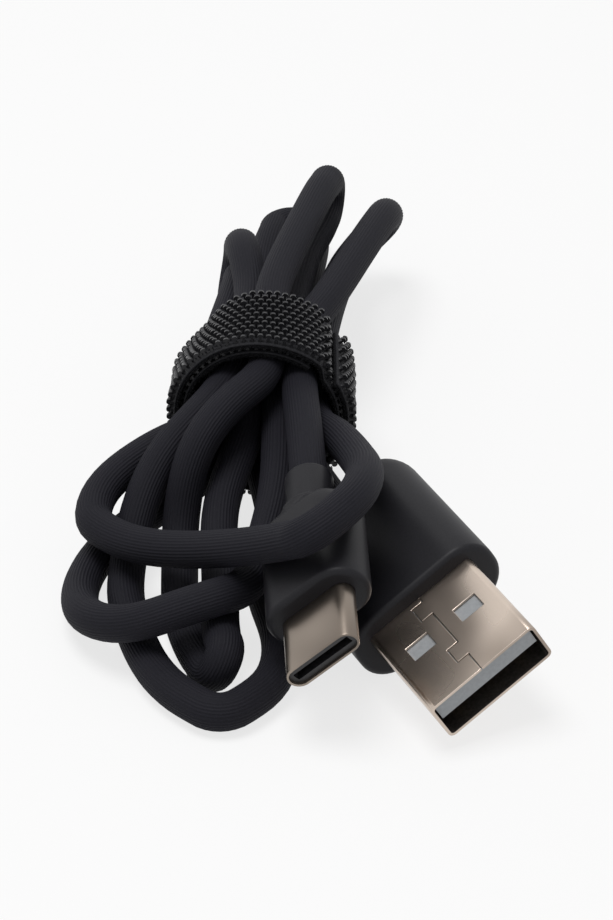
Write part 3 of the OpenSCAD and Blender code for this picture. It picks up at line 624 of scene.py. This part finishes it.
def plug_place(at, yaw, pitch, roll):
    """A plug's turn and place. In its own mm the cord leaves at 0, with the mouth towards -Y and X across."""
    turn = (Matrix.Rotation(math.radians(yaw), 3, "Z") @ Matrix.Rotation(math.radians(pitch), 3, "X")
            @ Matrix.Rotation(math.radians(-roll), 3, "Y"))
    return np.array(turn), np.array(at) + TO_ORIGIN


def placed(points, place):
    """Points in the plug's own mm as points in the row's mm."""
    return np.array(points, float) @ place[0].T + place[1]


round_angles = (np.arange(ROUND) + 0.5) * 2 * math.pi / ROUND
directions = np.stack([np.cos(round_angles), np.sin(round_angles)], -1)


def reach(width, height, corner):
    """How far a rounded rectangle reaches from its middle in each direction."""
    corner = min(corner, width / 2, height / 2)
    near, far = np.zeros(ROUND), np.full(ROUND, 20.0)  # the far one lies outside every outline
    for _ in range(HALVINGS):
        middle = (near + far) / 2
        off = np.abs(directions * middle[:, None]) - np.array([width / 2 - corner, height / 2 - corner])
        outside = np.linalg.norm(np.maximum(off, 0), axis=1) + np.minimum(off.max(1), 0) > corner
        near, far = np.where(outside, near, middle), np.where(outside, middle, far)
    return near


def ring_at(y, reaches):
    """A ring of points in a plug's own mm at y, with a reach in each direction."""
    return np.stack([directions[:, 0] * reaches, np.full(ROUND, float(y)), directions[:, 1] * reaches], -1)


def inset(off, radius):
    """How far a rounded edge of that radius draws in, at a distance off from its end."""
    off = min(off, radius)
    return radius - math.sqrt(radius ** 2 - (radius - off) ** 2)


def drawn_in(off_rear, off_front, rear, front):
    """How far the rounding of the nearer end draws a grip's side in."""
    if off_rear < rear:
        return inset(off_rear, rear)
    return inset(off_front, front) if off_front < front else 0


def grip_reach(size, side, front, rear, off_rear):
    """Reach of a moulded grip at a distance in front of its rear face."""
    off_front = size[2] - off_rear
    x = drawn_in(off_rear, off_front, rear, front)
    z = drawn_in(off_rear, off_front, rear / 2, front)
    return reach(size[0] - 2 * x, size[1] - 2 * z, side - min(x, side - CORNER_SPARED) / 2)


def grip_stops(size, front, rear):
    """Distances in front of the rear face, close together at its rounded ends."""
    turn = np.radians(np.linspace(0, 90, 10))
    return np.unique(np.round(np.concatenate([
        rear * (1 - np.cos(turn)), rear / 2 * (1 - np.cos(turn)), np.linspace(rear, size[2] - front, 9),
        size[2] - front + front * np.sin(turn)]), 4))


def smooth_by_angle(piece, degrees=38):
    """Edges over that angle show as edges, and the rest as one smooth face."""
    piece.data.polygons.foreach_set("use_smooth", np.ones(len(piece.data.polygons), bool))
    piece.data.set_sharp_from_angle(angle=math.radians(degrees))


def dress(names, material):
    """Gives the CAD nodes of these names a material."""
    for name in names:
        nodes[name].data.materials.clear()
        nodes[name].data.materials.append(material)


overmould = grained_finish(
    "smooth_overmould", 0.46, (0.009, 0.0088, 0.011), (0.014, 0.0137, 0.017), 6000, 0.12, specular=0.2)


def nickel_with_painted_reflections(name, dark_reflection, bright_reflection):
    """Satin nickel plating with painted reflections: broad soft patches go from a dark to a bright reflection
    colour, tinted warm for reflected warm light.
    """
    material, shader = new_material(name)
    tree = material.node_tree
    shader.inputs["Metallic"].default_value = 1
    place = tree.nodes.new("ShaderNodeTexCoord").outputs["Object"]
    grain(tree, shader, place, 4000, 0.15, 0.00001)
    reflection_patches = value(tree, "ShaderNodeTexNoise", Scale=75, Detail=2, Roughness=0.45)
    shifted = value(tree, "ShaderNodeMapping", Location=REFLECTION_PATCH_SHIFT)
    tree.links.new(place, shifted.inputs["Vector"])
    tree.links.new(shifted.outputs["Vector"], reflection_patches.inputs["Vector"])
    varied(tree, shader, reflection_patches, 0.38, 0.6, dark_reflection, bright_reflection)
    dulled = value(tree, "ShaderNodeMapRange", From_Min=0.3, From_Max=0.7, To_Min=0.36, To_Max=0.24)
    tree.links.new(reflection_patches.outputs["Fac"], dulled.inputs["Value"])
    tree.links.new(dulled.outputs["Result"], shader.inputs["Roughness"])
    return material


# Painted reflections: the dark and bright patches and the warm tint of the plating stand in for what the
# shell reflects.
plating = nickel_with_painted_reflections("nickel_painted_warm_reflections", (0.27, 0.22, 0.185), (0.62, 0.53, 0.455))
# Painted shade: the shells' inner faces get a dark metal that stands for the shade inside the plugs.
painted_shade_plating = grained_finish(
    "inside_painted_shade", 0.55, (0.05, 0.045, 0.042), (0.09, 0.08, 0.074), 3000, 0.15, metallic=1)

usb_a_place = plug_place(USB_A_AT, USB_A_YAW, 0, USB_A_ROLL)
cord_bore = CORD_RADIUS + CORD_GAP
shell_hole = reach(USB_A_SHELL[0] + 2 * SHELL_GAP, USB_A_SHELL[1] + 2 * SHELL_GAP, USB_A_SHELL_CORNER)


def cord_mouth(deep, wider):
    """Rings from inside an overmould out round the cord, with a mouth that widens over its last part."""
    return [ring_at(-1, np.full(ROUND, cord_bore - 0.1)), ring_at(-deep, np.full(ROUND, cord_bore)),
            ring_at(0, np.full(ROUND, cord_bore + wider))]


sections = cord_mouth(0.25, 0.15)
sections += [ring_at(-off, grip_reach(USB_A_GRIP, USB_A_SIDE, USB_A_FRONT, USB_A_REAR, off))
             for off in grip_stops(USB_A_GRIP, USB_A_FRONT, USB_A_REAR)]
sections += [ring_at(-USB_A_GRIP[2], shell_hole), ring_at(1 - USB_A_GRIP[2], shell_hole - SHELL_GAP)]
usb_a_grip = closed_tube("usb_a_overmould", placed(sections, usb_a_place))
smooth_by_angle(usb_a_grip)
usb_a_grip.data.materials.append(overmould)


def pressed_shell(name, place):
    """The folded shell: a sheet with its holes, seam and tabs cut out, then its thickness and eased edges."""
    half_width, half_height = USB_A_SHELL[0] / 2, USB_A_SHELL[1] / 2
    flat = half_width - USB_A_SHELL_CORNER
    hole_near, hole_far = USB_A_HOLE_X
    top = [hole_far, hole_near, SEAM / 2, -SEAM / 2, SEAM - TAB_REACH, -TAB_REACH, -hole_near, -hole_far]
    outline = []
    for corner, (sx, sz) in enumerate(((1, 1), (-1, 1), (-1, -1), (1, -1))):
        for t in np.radians(np.linspace(90 * corner, 90 * corner + 90, 7)):
            outline.append((sx * flat + USB_A_SHELL_CORNER * math.cos(t),
                            sz * (half_height - USB_A_SHELL_CORNER) + USB_A_SHELL_CORNER * math.sin(t)))
        if corner == 0:
            outline += [(x, half_height) for x in top]
        if corner == 2:
            outline += [(x, -half_height) for x in (-hole_far, -hole_near, hole_near, hole_far)]
    behind = {0, *USB_A_HOLE_Y, USB_A_SHELL_OUT, USB_A_SHELL_OUT + USB_A_SHELL_IN}
    for start in TAB_PLACES:
        behind |= {start, start + SEAM, start + TAB_LENGTH - SEAM, start + TAB_LENGTH}
    rows = sorted(behind, reverse=True)
    mouth = -USB_A_GRIP[2] - USB_A_SHELL_OUT
    verts = [(x, mouth + d, z) for d in rows for x, z in outline]
    count = len(outline)

    def cut_out(x, z, d):
        if abs(z) < half_height - 0.01:  # on a side or a corner, which have no cuts
            return False
        if hole_near < abs(x) < hole_far and USB_A_HOLE_Y[0] < d < USB_A_HOLE_Y[1]:
            return True
        if z < 0 or d > USB_A_SHELL_OUT:
            return False
        for start in TAB_PLACES:
            if start < d < start + TAB_LENGTH:
                end_slot = not start + SEAM < d < start + TAB_LENGTH - SEAM
                return -TAB_REACH < x < SEAM / 2 and (end_slot or x < SEAM - TAB_REACH)
        return abs(x) < SEAM / 2

    faces = []
    for r in range(len(rows) - 1):
        for c in range(count):
            c2 = (c + 1) % count
            x, z = (outline[c][0] + outline[c2][0]) / 2, (outline[c][1] + outline[c2][1]) / 2
            if not cut_out(x, z, (rows[r] + rows[r + 1]) / 2):
                faces.append((r * count + c, r * count + c2, (r + 1) * count + c2, (r + 1) * count + c))
    mesh = bpy.data.meshes.new(name)
    mesh.from_pydata(verts, [], faces)
    mesh.materials.append(plating)
    mesh.materials.append(painted_shade_plating)
    mesh.update()
    piece = bpy.data.objects.new(name, mesh)
    scene.collection.objects.link(piece)
    sheet = piece.modifiers.new("sheet", "SOLIDIFY")
    sheet.thickness, sheet.offset = USB_A_SHEET, -1
    # the inner faces take the second material, which holds painted shade
    sheet.use_even_offset, sheet.material_offset = True, 1
    eased = piece.modifiers.new("eased", "BEVEL")
    eased.width, eased.segments = USB_A_EASED, 2
    eased.limit_method, eased.angle_limit = "ANGLE", math.radians(40)
    plain = bpy.data.meshes.new_from_object(piece.evaluated_get(bpy.context.evaluated_depsgraph_get()))
    piece.modifiers.clear()
    for face in plain.polygons:
        face.use_smooth = max(abs(v) for v in face.normal) < 0.9999
    turn = Matrix([[*row, at] for row, at in zip(place[0].tolist(), place[1].tolist())] + [[0, 0, 0, 1]])
    plain.transform(Matrix.Scale(MM, 4) @ turn)
    piece.data = plain
    plain.name = name
    bpy.data.meshes.remove(mesh)
    return piece


usb_a_shell = pressed_shell("usb_a_plated_shell", usb_a_place)

# The insulator is white plastic; its grey is painted shade from the shell round it.
insulator_grey_in_painted_shade = grained_finish("white_insulator_painted_grey", 0.5, (0.3, 0.315, 0.33), (0.36, 0.375, 0.39), 3000, 0.1)
gilt = grained_finish("gilt_contacts", 0.28, (0.62, 0.42, 0.16), (0.78, 0.56, 0.24), 3000, 0.1, metallic=1)
tinned = grained_finish("tinned_sheet", 0.38, (0.42, 0.42, 0.41), (0.58, 0.58, 0.56), 2500, 0.2, metallic=1)
red_wire = grained_finish("red_insulation", 0.45, (0.42, 0.03, 0.03), (0.52, 0.05, 0.04), 4000, 0.1)
mould = grained_finish("milky_mould", 0.55, (0.62, 0.6, 0.52), (0.7, 0.68, 0.6), 2000, 0.2)
dress(["usb_a_insulator"], insulator_grey_in_painted_shade)
dress(["usb_a_contacts"], gilt)
dress(["usb_a_rear_shield"], tinned)
dress(["usb_a_wires"], red_wire)
dress(["usb_a_inner_mould"], mould)

for piece, node, slot in ((usb_a_grip, "usb_a_grip", "grip"), (usb_a_shell, "usb_a_shell", "plug_shell")):
    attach(piece, "usb_a_plug")
    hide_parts(node)

# ---- USB-C plug ----
# A drawn and nickel-plated shell with a rounded rim, round a black housing with its contacts and latch arms.
# Its slim overmould runs out into a short neck round the cord.
USB_C_AT, USB_C_YAW, USB_C_PITCH, USB_C_ROLL = (4.6, -23, 13), 3, 9, 45
USB_C_GRIP, USB_C_SIDE, USB_C_FRONT, USB_C_REAR = (11, 6, 12.5), 2.9, 0.6, 3
NECK_LENGTH, NECK_RADIUS, NECK_FLARE = 5, 2.35, 1.0
NECK_ROUND = 0.3  # rounding of the neck's rear edge
FLARE_SHARE, FLARE_WIDE = 0.9, 0.56  # share of the neck's flare that is made, and how wide it is there
NECK_FADE = 2  # length over which the neck dies out in the grip
NECK_BLEND = 10  # the higher, the tighter the corner between the two
USB_C_SHELL, USB_C_SHELL_CORNER, USB_C_SHEET = (8.25, 2.4), 1.2, 0.25
USB_C_SHELL_OUT, USB_C_SHELL_IN = 6.5, 5

usb_c_place = plug_place(USB_C_AT, USB_C_YAW, USB_C_PITCH, USB_C_ROLL)
shoulder = -NECK_LENGTH - USB_C_GRIP[2]
mouth = shoulder - USB_C_SHELL_OUT
sections = cord_mouth(0.15, 0.1)
for t in np.radians(np.linspace(0, 90, 5)):
    radius = NECK_RADIUS - NECK_ROUND * (1 - math.sin(t))
    sections.append(ring_at(-NECK_ROUND * (1 - math.cos(t)), np.full(ROUND, radius)))
for flare in np.linspace(0, FLARE_SHARE, 8):
    radius = NECK_RADIUS + NECK_FLARE * (1 - math.sqrt(1 - flare ** 2))
    sections.append(ring_at(NECK_FLARE * (1 - flare) - NECK_LENGTH, np.full(ROUND, radius)))
for off in grip_stops(USB_C_GRIP, USB_C_FRONT, USB_C_REAR)[1:]:
    neck = (NECK_RADIUS + NECK_FLARE * FLARE_WIDE) * math.exp(-(off / NECK_FADE) ** 2)
    body = grip_reach(USB_C_GRIP, USB_C_SIDE, USB_C_FRONT, USB_C_REAR, off)
    joined = (neck ** NECK_BLEND + body ** NECK_BLEND) ** (1 / NECK_BLEND)
    sections.append(ring_at(-NECK_LENGTH - off, joined if off < USB_C_REAR else body))
shell_hole = reach(USB_C_SHELL[0] + 2 * SHELL_GAP, USB_C_SHELL[1] + 2 * SHELL_GAP, USB_C_SHELL_CORNER)
sections += [ring_at(shoulder, shell_hole), ring_at(shoulder + 1, shell_hole - SHELL_GAP)]
usb_c_grip = closed_tube("usb_c_overmould", placed(sections, usb_c_place))
smooth_by_angle(usb_c_grip)
usb_c_grip.data.materials.append(overmould)

# A darker copy of the same plating for the USB-C shell: painted shade and darker painted reflections on its
# wide face.
shaded_drawn_plating = nickel_with_painted_reflections("nickel_painted_darker_reflections", (0.15, 0.125, 0.105), (0.3, 0.255, 0.215))


def drawn_shell(name, place):
    """A seamless shell with a rounded rim at its mouth, open from end to end."""
    rear = shoulder + USB_C_SHELL_IN
    around = [(0, rear), (0, shoulder), (0, shoulder - 1)]
    for t in np.radians(np.linspace(0, 180, 9)):
        around.append((USB_C_SHEET / 2 * (1 - math.cos(t)), mouth + USB_C_SHEET / 2 * (1 - math.sin(t))))
    around += [(USB_C_SHEET, shoulder), (USB_C_SHEET, rear)]
    width, height = USB_C_SHELL
    rings = [ring_at(y, reach(width - 2 * d, height - 2 * d, USB_C_SHELL_CORNER - d)) for d, y in around]
    verts = placed(rings, place).reshape(-1, 3) * MM
    count = len(around)
    faces = [(r * ROUND + c, r * ROUND + (c + 1) % ROUND, (r + 1) % count * ROUND + (c + 1) % ROUND,
              (r + 1) % count * ROUND + c) for r in range(count) for c in range(ROUND)]
    mesh = bpy.data.meshes.new(name)
    mesh.from_pydata(verts.tolist(), [], faces)
    mesh.materials.append(shaded_drawn_plating)
    mesh.materials.append(painted_shade_plating)
    # the inner faces behind the shoulder and the rear edge take the second material, which holds painted
    # shade
    for face in mesh.polygons:
        face.material_index = int(face.index // ROUND > count - 3)
    mesh.update()
    piece = bpy.data.objects.new(name, mesh)
    scene.collection.objects.link(piece)
    smooth_by_angle(piece)
    return piece


usb_c_shell = drawn_shell("usb_c_plated_shell", usb_c_place)

black_plastic = grained_finish("black_housing", 0.45, (0.01, 0.01, 0.011), (0.018, 0.018, 0.02), 3000, 0.1)
solder_mask = grained_finish("solder_mask", 0.35, (0.02, 0.14, 0.05), (0.03, 0.2, 0.08), 2500, 0.15)
ceramic = grained_finish("resistor_ceramic", 0.5, (0.02, 0.02, 0.02), (0.04, 0.04, 0.04), 5000, 0.2)
dress(["usb_c_housing"], black_plastic)
dress(["usb_c_upper_contacts", "usb_c_lower_contacts"], gilt)
dress(["usb_c_latch_plate", "usb_c_ground_springs", "usb_c_rear_shield"], tinned)
dress(["usb_c_board"], solder_mask)
dress(["usb_c_resistor"], ceramic)
dress(["usb_c_wires"], red_wire)
dress(["usb_c_inner_mould"], mould)

for piece, node, slot in ((usb_c_grip, "usb_c_grip", "grip"), (usb_c_shell, "usb_c_shell", "plug_shell")):
    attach(piece, "cable")
    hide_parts(node)
